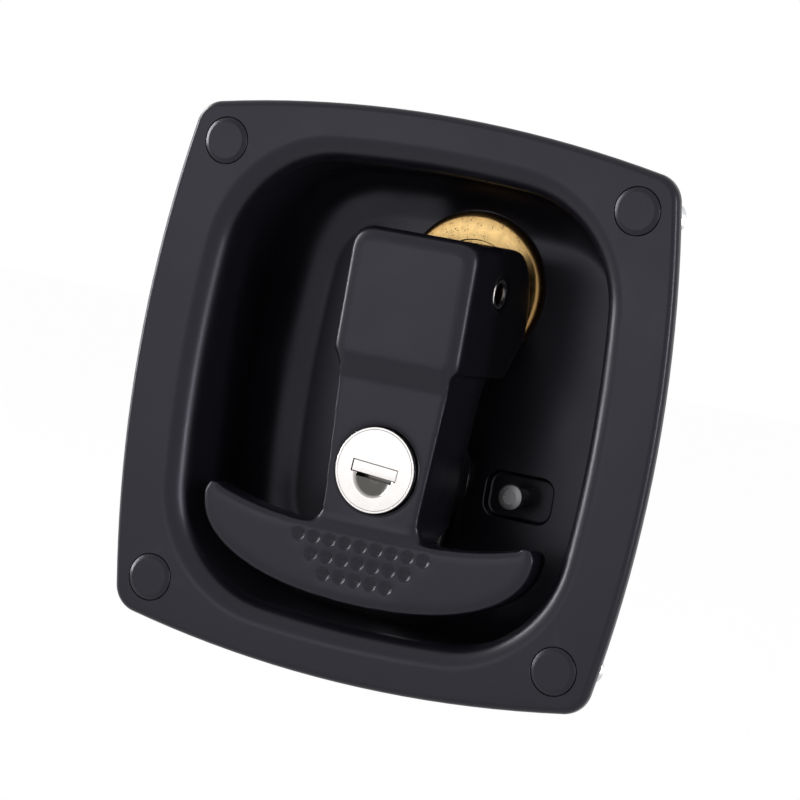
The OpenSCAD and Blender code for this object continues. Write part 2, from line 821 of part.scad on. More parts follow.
// Bevelled face and sloped underside, trimmed to the plan
module neck() {
  under = bar_drop + bar_t;
  intersection() {
    slab(cut, -neck_depth)
      neck_plan();
    across_x(4 * head_half)
      polygon([[head_low + 2 * cut, 0], [head_low, 0], [head_low - bevel_len, -neck_drop],
        [bar_low, -neck_drop], [bar_low, -under], [bar_top, -under],
        [lock_y - lock_r - cut, -neck_depth - cut], [head_low + 2 * cut, -neck_depth - cut]]);
  }
}

// Crescent outline: rising upper edge, round tips, full lower edge
function bar_upper(x) =
  bar_top + (bar_tip_y + bar_tip_r - bar_top) * pow(abs(x) / (bar_half - bar_tip_r), 3);
function bar_lower(t) =
  [bar_half * sign(cos(t)) * pow(abs(cos(t)), 2 / bar_fullness),
    bar_tip_y + (bar_low - bar_tip_y) * pow(abs(sin(t)), 2 / bar_fullness)];
function bar_outline() =
  let (tip_x = bar_half - bar_tip_r, inner = tip_x - bar_tip_r)
  concat(
    [for (t = [0 : 6 : 180]) bar_lower(t)],
    [for (t = [170 : -16 : 74]) [-tip_x, bar_tip_y] + bar_tip_r * [cos(t), sin(t)]],
    [for (i = [-8 : 8]) [inner * i / 8, bar_upper(inner * i / 8)]],
    [for (t = [106 : -16 : 10]) [tip_x, bar_tip_y] + bar_tip_r * [cos(t), sin(t)]]);

module t_bar() {
  slab(-bar_drop, -bar_drop - bar_t)
    polygon(bar_outline());
}

module dimples() {
  ball = (pow(dimple_r, 2) + pow(dimple_depth, 2)) / (2 * dimple_depth);
  for (row = [0 : 2])
    for (i = [row - 4 : 4 - row])
      translate([i * dimple_pitch, dimple_row_y - row * dimple_pitch, ball - bar_drop - dimple_depth])
        sphere(ball);
}

module t_handle() {
  color([0.09, 0.09, 0.1])
    placed()
      difference() {
        union() {
          head_block();
          neck();
          t_bar();
          intersection() {
            translate([0, lock_y, 0])
              rod(-neck_depth + cut, -boss_depth, lock_r + boss_wall);
            translate([-neck_half_low, lock_y - 2 * lock_r, -boss_depth - cut])
              cube([2 * neck_half_low, 4 * lock_r, boss_depth]);
          }
        }
        dimples();
        translate([0, lock_y, 0])
          rod(cut, -boss_depth - cut, lock_r + seat_gap);
        translate([-slot_half, pivot_y - slot_reach, heel_z - cut])
          cube([2 * slot_half, head_top, slot_reach - pivot_depth - heel_z + cut]);
        translate([0, pivot_y, -pivot_depth])
          rotate([0, 90, 0])
            cylinder(h = 4 * head_half, r = pin_r + seat_gap, center = true);
      }
}

module pivot_pin() {
  half = head_half - pin_recess;
  color([0.75, 0.74, 0.72])
    placed()
      translate([0, pivot_y, -pivot_depth])
        rotate([0, 90, 0])
          difference() {
            cylinder(h = 2 * half, r = pin_r, center = true);
            for (side = [-1, 1])
              translate([0, 0, side * half])
                cylinder(h = 2 * pin_hollow_depth, r = pin_hollow_r, center = true);
          }
}

module at_lock() {
  translate([0, lock_y, 0])
    rotate([0, 0, key_tilt])
      children();
}

module lock_barrel() {
  color([0.8, 0.8, 0.8])
    placed()
      at_lock()
        difference() {
          rod(lock_face, barrel_back, lock_r);
          rod(lock_face + cut, face_back - stack_gap, lock_r - lock_rim);
          rod(lock_face + cut, barrel_back - cut, plug_r + run_gap);
          difference() {
            rod(clip_z + seat_gap, clip_z - clip_t - seat_gap, lock_r + cut);
            rod(clip_z + cut, clip_z - clip_t - cut, lock_r - clip_groove);
          }
        }
}

module barrel_clip() {
  color([0.3, 0.3, 0.32])
    placed()
      translate([0, lock_y, 0])
        difference() {
          rod(clip_z, clip_z - clip_t, lock_r + clip_proud);
          rod(clip_z + cut, clip_z - clip_t - cut, lock_r - clip_groove + seat_gap);
          translate([-clip_open, 0, clip_z - clip_t - cut])
            cube([2 * clip_open, 2 * lock_r, clip_t + 2 * cut]);
        }
}

// Half-moon finger scoop under the slot
module scoop() {
  ball = (pow(scoop_r, 2) + pow(scoop_depth, 2)) / (2 * scoop_depth);
  intersection() {
    translate([0, -key_h / 2, lock_face - scoop_depth + ball])
      sphere(ball);
    translate([-2 * scoop_r, -key_h / 2 - 2 * scoop_r, lock_face - 2 * scoop_depth])
      cube([4 * scoop_r, 2 * scoop_r + cut / 10, 4 * scoop_depth]);
  }
}

module wafer_stack(half_w, half_h, thick) {
  for (i = [0 : wafers - 1])
    translate([-half_w, -half_h, wafer_first - (i + 1) * wafer_pitch - thick / 2])
      cube([2 * half_w, 2 * half_h, thick]);
}

module lock_plug() {
  keyway_back = wafer_first - (wafers + 1) * wafer_pitch;
  color([0.85, 0.85, 0.84])
    placed()
      at_lock()
        difference() {
          union() {
            rod(lock_face, face_back, lock_r - lock_rim - run_gap);
            rod(face_back + cut, plug_back, plug_r);
            translate([-tail_sq / 2, -tail_sq / 2, tail_cam_back])
              cube([tail_sq, tail_sq, plug_back - tail_cam_back + cut]);
          }
          translate([-key_w / 2, -key_h / 2, lock_face - cavity_lip - cut])
            cube([key_w, key_h, cavity_lip + 2 * cut]);
          translate([-key_w / 2, -cavity_half, lock_face - cavity_depth])
            cube([key_w, 2 * cavity_half, cavity_depth - cavity_lip]);
          translate([-keyway_half_w, -keyway_half_h, keyway_back])
            cube([2 * keyway_half_w, 2 * keyway_half_h, lock_face - keyway_back - cavity_lip]);
          wafer_stack(wafer_half_w + seat_gap, wafer_half_h + seat_gap, wafer_t + 2 * seat_gap);
          scoop();
          translate([0, shutter_axis_y, shutter_axis_z])
            rotate([0, 90, 0])
              cylinder(h = 2 * (shutter_pin_half + stack_gap), r = shutter_pin_r + seat_gap, center = true);
          rod(tail_cam_back + tail_screw_len + cut, tail_cam_back - cut, tail_screw_r + seat_gap);
        }
}

module wafer_tumblers() {
  color([0.76, 0.62, 0.34])
    placed()
      at_lock()
        difference() {
          wafer_stack(wafer_half_w, wafer_half_h, wafer_t);
          translate([wafer_web - wafer_half_w, -keyway_half_h - wafer_play, barrel_back])
            cube([2 * (wafer_half_w - wafer_web), 2 * (keyway_half_h + wafer_play), -barrel_back]);
        }
}

// Hooked cam: its slot takes the keeper stem after a quarter turn
module tail_cam() {
  color([0.2, 0.2, 0.21])
    placed()
      translate([0, lock_y, 0])
        difference() {
          rotate([0, 0, keeper_angle - turn_angle])
            slab(tail_cam_z, tail_cam_back)
              difference() {
                union() {
                  circle(tail_cam_half + tail_eye_grow);
                  translate([0, -tail_cam_half])
                    square([tail_reach - tail_cam_half, 2 * tail_cam_half]);
                  translate([tail_reach - tail_cam_half, 0])
                    circle(tail_cam_half);
                }
                translate([keeper_reach, 0])
                  circle(hook_half);
                intersection() {
                  difference() {
                    circle(keeper_reach + hook_half);
                    circle(keeper_reach - hook_half);
                  }
                  square([2 * tail_reach, 2 * tail_cam_half]);
                }
              }
          rotate([0, 0, key_tilt])
            translate([0, 0, tail_cam_back + tail_cam_t / 2])
              cube([tail_sq + 2 * seat_gap, tail_sq + 2 * seat_gap, tail_cam_t + 2 * cut], center = true);
        }
}

module tail_screw() {
  head_back = tail_cam_back - stack_gap - tail_screw_head_t;
  color([0.7, 0.71, 0.72])
    placed()
      translate([0, lock_y, 0])
        difference() {
          union() {
            rod(tail_cam_back + tail_screw_len, head_back, tail_screw_r);
            rod(tail_cam_back - stack_gap, head_back, 0.7 * tail_sq);
          }
          translate([0, 0, head_back])
            cube([2 * tail_sq, tail_screw_r / 2, tail_screw_head_t], center = true);
        }
}

module shutter_pin() {
  color([0.7, 0.71, 0.72])
    placed()
      at_lock()
        translate([0, shutter_axis_y, shutter_axis_z])
          rotate([0, 90, 0])
            cylinder(h = 2 * shutter_pin_half, r = shutter_pin_r, center = true);
}

// Dust flap: a thin plate with a knuckle on the shutter pin
module slot_shutter() {
  half_w = key_w / 2 - shutter_gap;
  half_h = key_h / 2 - shutter_gap;
  front = lock_face - shutter_recess;
  color([0.88, 0.88, 0.87])
    placed()
      at_lock()
        difference() {
          union() {
            translate([-half_w, -half_h, front - shutter_t])
              cube([2 * half_w, 2 * half_h, shutter_t]);
            translate([0, shutter_axis_y, shutter_axis_z])
              rotate([0, 90, 0])
                cylinder(h = 2 * half_w, r = shutter_knuckle_r, center = true);
          }
          translate([0, shutter_axis_y, shutter_axis_z])
            rotate([0, 90, 0])
              cylinder(h = 4 * half_w, r = shutter_pin_r + run_gap, center = true);
        }
}

pan();
mounting_studs();
keeper_pin();
stop_plate();
stop_screws();
thrust_bush();
stop_washer();
bush_circlip();
return_spring();
draw_shaft();
spring_cup();
latch_cam();
cam_washer();
cam_nuts();
t_handle();
pivot_pin();
lock_barrel();
barrel_clip();
lock_plug();
wafer_tumblers();
tail_cam();
tail_screw();
shutter_pin();
slot_shutter();
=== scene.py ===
import json
import math

import bpy
from mathutils import Matrix, Vector


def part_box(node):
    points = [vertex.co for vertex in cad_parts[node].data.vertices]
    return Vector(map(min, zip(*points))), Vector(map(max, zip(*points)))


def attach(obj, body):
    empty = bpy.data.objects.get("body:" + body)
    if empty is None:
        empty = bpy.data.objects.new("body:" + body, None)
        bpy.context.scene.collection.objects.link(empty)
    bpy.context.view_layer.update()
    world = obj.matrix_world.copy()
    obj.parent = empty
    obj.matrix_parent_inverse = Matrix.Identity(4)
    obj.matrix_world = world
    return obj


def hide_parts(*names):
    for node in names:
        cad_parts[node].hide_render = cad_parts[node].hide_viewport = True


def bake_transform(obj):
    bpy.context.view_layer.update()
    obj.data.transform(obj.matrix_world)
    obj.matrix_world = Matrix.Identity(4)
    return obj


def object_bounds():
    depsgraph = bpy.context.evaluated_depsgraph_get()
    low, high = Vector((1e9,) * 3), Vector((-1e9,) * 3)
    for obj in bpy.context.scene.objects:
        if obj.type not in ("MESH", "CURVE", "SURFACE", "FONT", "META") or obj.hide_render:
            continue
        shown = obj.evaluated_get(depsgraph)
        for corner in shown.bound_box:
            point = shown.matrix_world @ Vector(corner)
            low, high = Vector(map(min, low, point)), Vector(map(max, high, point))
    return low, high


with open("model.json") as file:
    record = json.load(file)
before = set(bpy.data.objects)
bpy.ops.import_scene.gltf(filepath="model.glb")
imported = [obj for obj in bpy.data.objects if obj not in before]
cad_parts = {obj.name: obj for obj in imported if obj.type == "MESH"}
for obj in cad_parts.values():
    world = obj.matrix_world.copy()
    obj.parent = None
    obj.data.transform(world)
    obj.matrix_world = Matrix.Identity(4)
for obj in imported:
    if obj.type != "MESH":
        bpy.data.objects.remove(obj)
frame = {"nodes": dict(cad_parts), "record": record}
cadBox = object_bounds()
record = frame["record"]
behaviour = record["behaviour"]
jointAt = {joint["name"]: joint.get("pos_m") for joint in behaviour["joints"]}
nodeBody = {node: body for body, nodes in behaviour["bodies"].items() for node in nodes}
nodeSlot = {part["node"]: part["material_slot"] for part in record["subparts"]}

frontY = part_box("pan")[0][1]            # flange front
shaftUp = jointAt["shaft_turn"][2] * 1000
lockUp = jointAt["lock_turn"][2] * 1000
pinUp = jointAt["handle_fold"][2] * 1000
pinDepth = (jointAt["handle_fold"][1] - frontY) * 1000
print("frame loaded,", len(frame["nodes"]), "nodes")


# places are in millimetres: to the right, up, and back from the flange front
def at(x, up, depth):
    return Vector((x / 1000, frontY + depth / 1000, up / 1000))


def depthSpan(node):
    low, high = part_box(node)
    return (low[1] - frontY) * 1000, (high[1] - frontY) * 1000


def pick(obj):
    bpy.ops.object.select_all(action="DESELECT")
    obj.select_set(True)
    bpy.context.view_layer.objects.active = obj


def openEdit(obj):
    pick(obj)
    bpy.ops.object.mode_set(mode="EDIT")
    bpy.ops.mesh.select_mode(type="VERT")
    bpy.ops.mesh.select_all(action="SELECT")


def closeEdit():
    bpy.ops.object.mode_set(mode="OBJECT")


def applyModifier(obj, modifier):
    pick(obj)
    bpy.ops.object.modifier_apply(modifier=modifier.name)


# points that fell together are merged, and faces without area go
def cleanMesh(obj, reach=2e-6):
    openEdit(obj)
    bpy.ops.mesh.remove_doubles(threshold=reach)
    bpy.ops.mesh.dissolve_degenerate(threshold=reach)
    closeEdit()


# smooth shading in which the large flat faces stay flat
def smoothShade(obj, angle=38):
    pick(obj)
    bpy.ops.object.shade_smooth_by_angle(angle=math.radians(angle))
    weigh = obj.modifiers.new("weigh", "WEIGHTED_NORMAL")
    weigh.keep_sharp = True
    weigh.weight = 80
    applyModifier(obj, weigh)


def softenEdges(obj, width, segments=2, angle=40):
    bevel = obj.modifiers.new("soften", "BEVEL")
    bevel.width = width / 1000
    bevel.segments = segments
    bevel.limit_method = "ANGLE"
    bevel.angle_limit = math.radians(angle)
    applyModifier(obj, bevel)


def combine(obj, other, operation):
    mix = obj.modifiers.new("combine", "BOOLEAN")
    mix.operation = operation
    mix.solver = "EXACT"
    mix.object = other
    applyModifier(obj, mix)
    bpy.data.objects.remove(other, do_unlink=True)
    cleanMesh(obj)


def joinAll(pieces, name):
    pick(pieces[0])
    for piece in pieces[1:]:
        piece.select_set(True)
    bpy.ops.object.join()
    pieces[0].name = name
    return pieces[0]


# copies of one piece, each with its own mesh, at (x, up, back) from where it was made
def repeatAt(obj, places):
    twins = []
    for x, up, back in places:
        twin = bpy.data.objects.new(obj.name, obj.data.copy())
        bpy.context.collection.objects.link(twin)
        twin.data.transform(Matrix.Translation((x / 1000, back / 1000, up / 1000)))
        twins.append(twin)
    bpy.data.objects.remove(obj, do_unlink=True)
    return twins


# a grid that is wrapped into a tube: place(row, column) gives each point
def wrapGrid(name, rows, columns, place, caps=True):
    bpy.ops.object.select_all(action="DESELECT")
    bpy.ops.mesh.primitive_grid_add(x_subdivisions=columns, y_subdivisions=rows, size=1)
    obj = bpy.context.object
    obj.name = name
    for vertex in obj.data.vertices:
        row, column = divmod(vertex.index, columns + 1)
        vertex.co = place(row, column % columns)
    openEdit(obj)
    bpy.ops.mesh.remove_doubles(threshold=1e-7)
    if caps:
        bpy.ops.mesh.fill_holes(sides=0)
    bpy.ops.mesh.select_all(action="SELECT")
    bpy.ops.mesh.normals_make_consistent(inside=False)
    closeEdit()
    return obj


# a corner with a radius becomes an arc; points are (a, b, radius)
def roundPath(points, steps=5, closed=False):
    path = []
    for i, (a, b, radius) in enumerate(points):
        here = Vector((a, b))
        if radius <= 0 or (not closed and i in (0, len(points) - 1)):
            path.append(here)
            continue
        before = (Vector(points[i - 1][:2]) - here).normalized()
        after = (Vector(points[(i + 1) % len(points)][:2]) - here).normalized()
        half = before.angle(after) / 2
        centre = here + (before + after).normalized() * (radius / math.sin(half))
        first = here + before * (radius / math.tan(half)) - centre
        last = here + after * (radius / math.tan(half)) - centre
        start = math.atan2(first.y, first.x)
        swing = (math.atan2(last.y, last.x) - start + math.pi) % math.tau - math.pi
        for k in range(steps + 1):
            turn = start + swing * k / steps
            path.append(centre + radius * Vector((math.cos(turn), math.sin(turn))))
    return path


# a profile of (radius, depth, rounding) turned about an axis that runs back from (x, up)
def turnPiece(name, profile, x=0, up=0, steps=96):
    path = roundPath(profile)

    def place(row, column):
        angle = math.tau * column / steps
        radius, depth = path[row]
        return at(x + radius * math.cos(angle), up + radius * math.sin(angle), depth)

    return wrapGrid(name, len(path) - 1, steps, place, caps=False)


# layers of (outline, depth) joined into a closed solid
def stackPiece(name, layers):
    def place(row, column):
        outline, depth = layers[row]
        return at(*outline[column], depth)

    return wrapGrid(name, len(layers) - 1, len(layers[0][0]), place)


def roundBox(width, height, radius, x=0, up=0, steps=6):
    halfW, halfH = width / 2, height / 2
    corners = [(halfW, halfH, radius), (-halfW, halfH, radius),
               (-halfW, -halfH, radius), (halfW, -halfH, radius)]
    return [(x + p.x, up + p.y) for p in roundPath(corners, steps, closed=True)]


threadShape = {"height": 0.6, "rowsPerTurn": 6}     # height as a share of the pitch


# helical thread on a rod, with chamfered ends and flats where the rod has them
def threadPiece(name, radius, pitch, front, back, x, up, flats=None, columns=40):
    height = threadShape["height"] * pitch
    rows = int((back - front) / pitch * threadShape["rowsPerTurn"])

    def place(row, column):
        angle = math.tau * column / columns
        depth = front + (back - front) * row / rows
        phase = (depth / pitch - column / columns) % 1
        edge = min(depth - front, back - depth)
        reach = min(radius - height * (1 - abs(2 * phase - 1)), radius - height + edge)
        side = reach * math.cos(angle)
        if flats:
            side = max(-flats / 2, min(flats / 2, side))
        return at(x + side, up + reach * math.sin(angle), depth)

    return wrapGrid(name, rows, columns, place)


# a merged copy of a CAD node, with its edges broken
def cadTwin(node, name, width=0.0, shade=True):
    source = frame["nodes"][node]
    obj = bpy.data.objects.new(name, source.data.copy())
    bpy.context.collection.objects.link(obj)
    obj.data.materials.clear()
    openEdit(obj)
    bpy.ops.mesh.remove_doubles(threshold=1e-6)
    bpy.ops.mesh.select_all(action="SELECT")
    bpy.ops.mesh.dissolve_limited(angle_limit=math.radians(0.4))
    closeEdit()
    if width:
        softenEdges(obj, width)
    if shade:
        smoothShade(obj)
    return obj


def dress(obj, material, node, stands=True, slot=None, rides=True):
    obj.data.materials.clear()
    obj.data.materials.append(material)
    if rides:
        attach(obj, nodeBody[node])
    slot or nodeSlot[node]
    if stands:
        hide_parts(node)


# node groups that more than one finish uses
def newGroup(name, inputs, outputs):
    group = bpy.data.node_groups.new(name, "ShaderNodeTree")
    for label, kind, default in inputs:
        socket = group.interface.new_socket(label, in_out="INPUT", socket_type=kind)
        if default is not None:
            socket.default_value = default
    for label, kind in outputs:
        group.interface.new_socket(label, in_out="OUTPUT", socket_type=kind)
    return group, group.nodes.new("NodeGroupInput"), group.nodes.new("NodeGroupOutput")


def addNode(tree, kind, **settings):
    node = tree.nodes.new(kind)
    for key, value in settings.items():
        if key in node.inputs:
            node.inputs[key].default_value = value
        else:
            setattr(node, key, value)
    return node


def calc(tree, operation, first, second):
    node = tree.nodes.new("ShaderNodeMath")
    node.operation = operation
    for socket, value in zip(node.inputs, (first, second)):
        if isinstance(value, bpy.types.NodeSocket):
            tree.links.new(value, socket)
        else:
            socket.default_value = value
    return node.outputs[0]


def buildGrain():
    group, into, out = newGroup(
        "coatGrain",
        [("Vector", "NodeSocketVector", None), ("Size", "NodeSocketFloat", 1.0),
         ("Peel", "NodeSocketFloat", 0.5)],
        [("Height", "NodeSocketFloat"), ("Cloud", "NodeSocketFloat")])
    scaled = addNode(group, "ShaderNodeVectorMath", operation="DIVIDE")
    group.links.new(into.outputs["Vector"], scaled.inputs[0])
    group.links.new(into.outputs["Size"], scaled.inputs[1])
    fine = addNode(group, "ShaderNodeTexNoise", Scale=2600.0, Detail=3.0, Roughness=0.55)
    peel = addNode(group, "ShaderNodeTexNoise", Scale=620.0, Detail=1.0, Roughness=0.4)
    cloud = addNode(group, "ShaderNodeTexNoise", Scale=45.0, Detail=3.0, Roughness=0.6)
    for texture in (fine, peel, cloud):
        group.links.new(scaled.outputs[0], texture.inputs["Vector"])
    waves = calc(group, "MULTIPLY", peel.outputs["Fac"], into.outputs["Peel"])
    group.links.new(calc(group, "ADD", fine.outputs["Fac"], waves), out.inputs["Height"])
    group.links.new(cloud.outputs["Fac"], out.inputs["Cloud"])
    return group


def buildTurning():
    group, into, out = newGroup(
        "turnedRings",
        [("Vector", "NodeSocketVector", None), ("Pitch", "NodeSocketFloat", 0.0002)],
        [("Height", "NodeSocketFloat"), ("Radius", "NodeSocketFloat")])
    split = addNode(group, "ShaderNodeSeparateXYZ")
    group.links.new(into.outputs["Vector"], split.inputs[0])
    across = calc(group, "POWER", split.outputs["X"], 2.0)
    upward = calc(group, "POWER", split.outputs["Z"], 2.0)
    radius = calc(group, "SQRT", calc(group, "ADD", across, upward), 0.0)
    along = calc(group, "MULTIPLY", split.outputs["Y"], 0.7)
    travel = calc(group, "DIVIDE", calc(group, "ADD", radius, along), into.outputs["Pitch"])
    line = addNode(group, "ShaderNodeTexNoise", noise_dimensions="1D", Scale=1.0, Detail=2.0, Roughness=0.7)
    group.links.new(travel, line.inputs["W"])
    group.links.new(line.outputs["Fac"], out.inputs["Height"])
    group.links.new(radius, out.inputs["Radius"])
    return group


def buildSpeckle():
    group, into, out = newGroup(
        "pittedSpecks",
        [("Vector", "NodeSocketVector", None), ("Spacing", "NodeSocketFloat", 0.001),
         ("Share", "NodeSocketFloat", 0.5)],
        [("Mask", "NodeSocketFloat"), ("Cloud", "NodeSocketFloat")])
    scaled = addNode(group, "ShaderNodeVectorMath", operation="DIVIDE")
    group.links.new(into.outputs["Vector"], scaled.inputs[0])
    group.links.new(into.outputs["Spacing"], scaled.inputs[1])
    cells = addNode(group, "ShaderNodeTexVoronoi", Scale=1.0, Randomness=1.0)
    patch = addNode(group, "ShaderNodeTexNoise", Scale=0.35, Detail=3.0, Roughness=0.65)
    for texture in (cells, patch):
        group.links.new(scaled.outputs[0], texture.inputs["Vector"])
    reach = calc(group, "MULTIPLY", into.outputs["Share"], 0.4)
    dot = calc(group, "LESS_THAN", cells.outputs["Distance"], reach)
    level = calc(group, "SUBTRACT", 0.85, calc(group, "MULTIPLY", into.outputs["Share"], 0.5))
    some = calc(group, "GREATER_THAN", patch.outputs["Fac"], level)
    group.links.new(calc(group, "MULTIPLY", dot, some), out.inputs["Mask"])
    group.links.new(patch.outputs["Fac"], out.inputs["Cloud"])
    return group


def buildEdgeRub():
    group, into, out = newGroup(
        "edgeRub",
        [("Start", "NodeSocketFloat", 0.52), ("End", "NodeSocketFloat", 0.6)],
        [("Mask", "NodeSocketFloat")])
    shape = addNode(group, "ShaderNodeNewGeometry")
    band = addNode(group, "ShaderNodeMapRange")
    group.links.new(shape.outputs["Pointiness"], band.inputs["Value"])
    group.links.new(into.outputs["Start"], band.inputs["From Min"])
    group.links.new(into.outputs["End"], band.inputs["From Max"])
    group.links.new(band.outputs["Result"], out.inputs["Mask"])
    return group


coatGrain = buildGrain()
turnedRings = buildTurning()
pittedSpecks = buildSpeckle()
edgeRub = buildEdgeRub()


def newFinish(name, **sockets):
    material = bpy.data.materials.new(name)
    material.use_nodes = True
    tree = material.node_tree
    shader = tree.nodes["Principled BSDF"]
    for key, value in sockets.items():
        shader.inputs[key].default_value = value
    coords = addNode(tree, "ShaderNodeTexCoord")
    return material, tree, shader, coords.outputs["Object"]


def useGroup(tree, group, vector, **values):
    node = tree.nodes.new("ShaderNodeGroup")
    node.node_tree = group
    if vector is not None:
        tree.links.new(vector, node.inputs["Vector"])
    for key, value in values.items():
        node.inputs[key].default_value = value
    return node


def mixColours(tree, mask, first, second):
    mix = addNode(tree, "ShaderNodeMix", data_type="RGBA")
    for socket, value in zip((mix.inputs[6], mix.inputs[7]), (first, second)):
        if isinstance(value, bpy.types.NodeSocket):
            tree.links.new(value, socket)
        else:
            socket.default_value = (*value, 1)
    tree.links.new(mask, mix.inputs[0])
    return mix.outputs[2]


def rangeOf(tree, value, low, high, fromLow=0.3, fromHigh=0.7):
    band = addNode(tree, "ShaderNodeMapRange")
    band.inputs["From Min"].default_value = fromLow
    band.inputs["From Max"].default_value = fromHigh
    band.inputs["To Min"].default_value = low
    band.inputs["To Max"].default_value = high
    tree.links.new(value, band.inputs["Value"])
    return band.outputs["Result"]


def bumpInto(tree, shader, height, strength, distance):
    bump = addNode(tree, "ShaderNodeBump", Strength=strength, Distance=distance)
    tree.links.new(height, bump.inputs["Height"])
    tree.links.new(bump.outputs["Normal"], shader.inputs["Normal"])


coatRelief, metalRelief = 0.00005, 0.00004         # height of the bumps, in metres


# black satin powder coat
def blackCoatFinish(name, look):
    sheen = (*look["sheen"], 1)
    material, tree, shader, place = newFinish(name, **{"IOR": look["ior"], "Specular Tint": sheen})
    grain = useGroup(tree, coatGrain, place, Size=1.0, Peel=look["peel"])
    rub = useGroup(tree, edgeRub, None)
    cloudy = mixColours(tree, grain.outputs["Cloud"], look["dark"], look["light"])
    faint = calc(tree, "MULTIPLY", rub.outputs["Mask"], look["rub"])
    tree.links.new(mixColours(tree, faint, cloudy, look["worn"]), shader.inputs["Base Color"])
    tree.links.new(rangeOf(tree, grain.outputs["Cloud"], *look["rough"]), shader.inputs["Roughness"])
    bumpInto(tree, shader, grain.outputs["Height"], look["bump"], coatRelief)
    return material


# plated and bare metals: turned lines about an axis, mottled colour, specks,
# painted shade in a darker band between two radii, and painted shade in the recess behind a face
def metalFinish(name, look, centre=(0, 0), faceDepth=None, crossDepth=None):
    material, tree, shader, place = newFinish(name, Metallic=1.0)
    shift = addNode(tree, "ShaderNodeMapping")
    shift.inputs["Location"].default_value = (-centre[0] / 1000, 0, -centre[1] / 1000)
    if crossDepth is not None:              # the axis runs across at this depth
        shift.inputs["Rotation"].default_value = (0, 0, math.pi / 2)
        shift.inputs["Location"].default_value = (at(0, 0, crossDepth).y, 0, -centre[1] / 1000)
    tree.links.new(place, shift.inputs["Vector"])
    rings = useGroup(tree, turnedRings, shift.outputs["Vector"], Pitch=look["pitch"] / 1000)
    specks = useGroup(tree, pittedSpecks, place, Spacing=look["spacing"] / 1000, Share=look["share"])
    tone = mixColours(tree, specks.outputs["Cloud"], look["dark"], look["light"])
    tone = mixColours(tree, specks.outputs["Mask"], tone, look["speck"])
    # painted shade: a darker band between two radii, on the brass bush's outer rim and inside the pivot pin's
    # hollow ends
    if "shadeBand" in look:
        near, far = look["shadeBandSpan"]
        shadeBandMask = rangeOf(tree, rings.outputs["Radius"], 0, 1, near / 1000, far / 1000)
        tone = mixColours(tree, shadeBandMask, tone, look["shadeBand"])
    # painted shade: the metal goes dark from just behind the face, so the key slot and scoop read as shaded
    # recesses
    if faceDepth is not None:
        split = addNode(tree, "ShaderNodeSeparateXYZ")
        tree.links.new(place, split.inputs[0])
        start = at(0, 0, faceDepth + look["recessShadeFrom"]).y
        below = rangeOf(tree, split.outputs["Y"], 0, 1, start, start + look["recessShadeOver"] / 1000)
        tone = mixColours(tree, below, tone, look["recessShade"])
    tree.links.new(tone, shader.inputs["Base Color"])
    tree.links.new(rangeOf(tree, specks.outputs["Cloud"], *look["rough"]), shader.inputs["Roughness"])
    pits = calc(tree, "MULTIPLY", specks.outputs["Mask"], -look["pit"])
    bumpInto(tree, shader, calc(tree, "ADD", rings.outputs["Height"], pits), look["bump"], metalRelief)
    return material


coatLook = {"ior": 1.39, "sheen": (0.88, 0.86, 1.0), "peel": 0.8, "bump": 0.12, "rough": (0.27, 0.35),
            "rub": 0.25, "dark": (0.0045, 0.0043, 0.0068), "light": (0.0065, 0.0061, 0.0092),
            "worn": (0.022, 0.021, 0.028)}
zincLook = {"pitch": 0.25, "spacing": 2.2, "share": 0.35, "pit": 0.2, "bump": 0.15, "rough": (0.24, 0.38),
            "dark": (0.50, 0.51, 0.53), "light": (0.68, 0.69, 0.70), "speck": (0.40, 0.40, 0.41)}
rawLook = {"pitch": 0.3, "spacing": 0.7, "share": 0.6, "pit": 0.8, "bump": 0.5, "rough": (0.38, 0.55),
           "dark": (0.20, 0.20, 0.21), "light": (0.36, 0.36, 0.37), "speck": (0.10, 0.10, 0.10)}
springLook = {"pitch": 0.2, "spacing": 1.0, "share": 0.3, "pit": 0.3, "bump": 0.15, "rough": (0.28, 0.42),
              "dark": (0.16, 0.16, 0.17), "light": (0.30, 0.30, 0.31), "speck": (0.10, 0.09, 0.09)}
# brass bush: the darker band on its outer rim is painted shade
brassLook = {"pitch": 0.35, "spacing": 0.55, "share": 0.62, "pit": 0.9, "bump": 0.35, "rough": (0.26, 0.38),
             "dark": (0.58, 0.36, 0.13), "light": (0.84, 0.61, 0.28), "speck": (0.22, 0.12, 0.04),
             "shadeBand": (0.20, 0.10, 0.03), "shadeBandSpan": (14.4, 17.4)}
waferLook = {"pitch": 0.4, "spacing": 0.9, "share": 0.4, "pit": 0.5, "bump": 0.3, "rough": (0.26, 0.38),
             "dark": (0.56, 0.39, 0.17), "light": (0.76, 0.58, 0.30), "speck": (0.24, 0.14, 0.05)}
# pivot pin: the dark brown band inside its hollow ends is painted shade
pinLook = {"pitch": 0.2, "spacing": 0.8, "share": 0.4, "pit": 0.3, "bump": 0.15, "rough": (0.18, 0.28),
           "dark": (0.60, 0.58, 0.56), "light": (0.76, 0.74, 0.72), "speck": (0.20, 0.15, 0.11),
           "shadeBand": (0.07, 0.04, 0.022), "shadeBandSpan": (2.6, 2.35)}
# nickel: the dark colour behind the lock plug's face is painted shade in its recesses
nickelLook = {"pitch": 0.22, "spacing": 1.5, "share": 0.15, "pit": 0.2, "bump": 0.06, "rough": (0.16, 0.24),
              "dark": (0.60, 0.58, 0.57), "light": (0.70, 0.675, 0.665), "speck": (0.50, 0.49, 0.48),
              "recessShade": (0.11, 0.106, 0.10), "recessShadeFrom": 0.1, "recessShadeOver": 0.5}

keeperAt = (20, -17.9)                  # axis of the keeper pin: to the right, up

